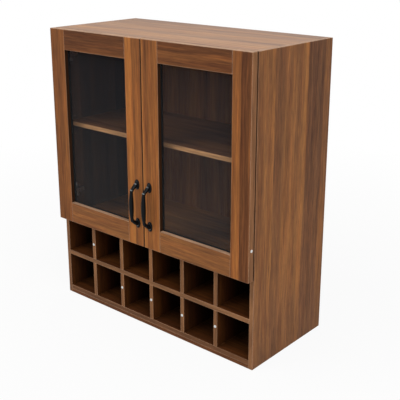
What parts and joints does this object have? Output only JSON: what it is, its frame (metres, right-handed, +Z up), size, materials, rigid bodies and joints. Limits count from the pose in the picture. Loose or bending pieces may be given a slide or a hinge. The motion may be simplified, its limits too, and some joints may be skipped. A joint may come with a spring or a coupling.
{
  "type": "wine cabinet",
  "caption": "Walnut-board wall wine cabinet with two smoked-glass doors on concealed hinges, a shelf inside, and a rack of open bottle cubbies below.",
  "frame": {"origin": "middle of the footprint, doors and handles included, at the height of the underside", "axes": "+Z up, +X to the right seen from the front, the doors face -Y"},
  "size_m": [0.8316, 0.4262, 0.95],
  "materials": {
    "walnut_board": "satin",
    "walnut_door": "satin",
    "walnut_back": "matte",
    "smoked_glass": "gloss",
    "glass_bead": "matte",
    "black_handle": "satin",
    "hinge_steel": "satin",
    "pin_steel": "satin",
    "screw_steel": "satin",
    "clear_dot": "gloss"
  },
  "bodies": {
    "carcass": {"left_side_panel": "walnut_board", "right_side_panel": "walnut_board", "top_panel": "walnut_board", "deck_panel": "walnut_board", "bottom_panel": "walnut_board", "bottom_front_strip": "walnut_board", "back_panel": "walnut_back", "hanging_rail": "walnut_back", "rack_shelf": "walnut_board", "rack_divider_1": "walnut_board", "rack_divider_2": "walnut_board", "rack_divider_3": "walnut_board", "rack_divider_4": "walnut_board", "rack_divider_5": "walnut_board", "adjustable_shelf": "walnut_board", "left_front_shelf_pin": "pin_steel", "right_front_shelf_pin": "pin_steel", "left_rear_shelf_pin": "pin_steel", "right_rear_shelf_pin": "pin_steel", "left_lower_hinge_plate": "hinge_steel", "right_lower_hinge_plate": "hinge_steel", "left_upper_hinge_plate": "hinge_steel", "right_upper_hinge_plate": "hinge_steel", "left_lower_hinge_arm": "hinge_steel", "right_lower_hinge_arm": "hinge_steel", "left_upper_hinge_arm": "hinge_steel", "right_upper_hinge_arm": "hinge_steel", "left_door_bumper": "clear_dot", "right_door_bumper": "clear_dot", "edge_dot_1": "clear_dot", "edge_dot_2": "clear_dot", "edge_dot_3": "clear_dot", "edge_dot_4": "clear_dot", "edge_dot_5": "clear_dot"},
    "left_door": {"left_door_outer_stile": "walnut_door", "left_door_inner_stile": "walnut_door", "left_door_bottom_rail": "walnut_door", "left_door_top_rail": "walnut_door", "left_door_glass": "smoked_glass", "left_door_glass_bead": "glass_bead", "left_lower_hinge_cup": "hinge_steel", "left_upper_hinge_cup": "hinge_steel", "left_handle": "black_handle", "left_lower_handle_screw": "screw_steel", "left_upper_handle_screw": "screw_steel"},
    "right_door": {"right_door_outer_stile": "walnut_door", "right_door_inner_stile": "walnut_door", "right_door_bottom_rail": "walnut_door", "right_door_top_rail": "walnut_door", "right_door_glass": "smoked_glass", "right_door_glass_bead": "glass_bead", "right_lower_hinge_cup": "hinge_steel", "right_upper_hinge_cup": "hinge_steel", "right_handle": "black_handle", "right_lower_handle_screw": "screw_steel", "right_upper_handle_screw": "screw_steel", "door_edge_dot": "clear_dot"}
  },
  "joints": [
    {"name": "left_door_swing", "type": "hinge", "parent": "carcass", "child": "left_door", "pos_m": [-0.4075, -0.16639, 0.62], "axis": [0, 0, -1], "range_deg": [0, 105]},
    {"name": "right_door_swing", "type": "hinge", "parent": "carcass", "child": "right_door", "pos_m": [0.4075, -0.16639, 0.62], "axis": [0, 0, 1], "range_deg": [0, 105]}
  ]
}
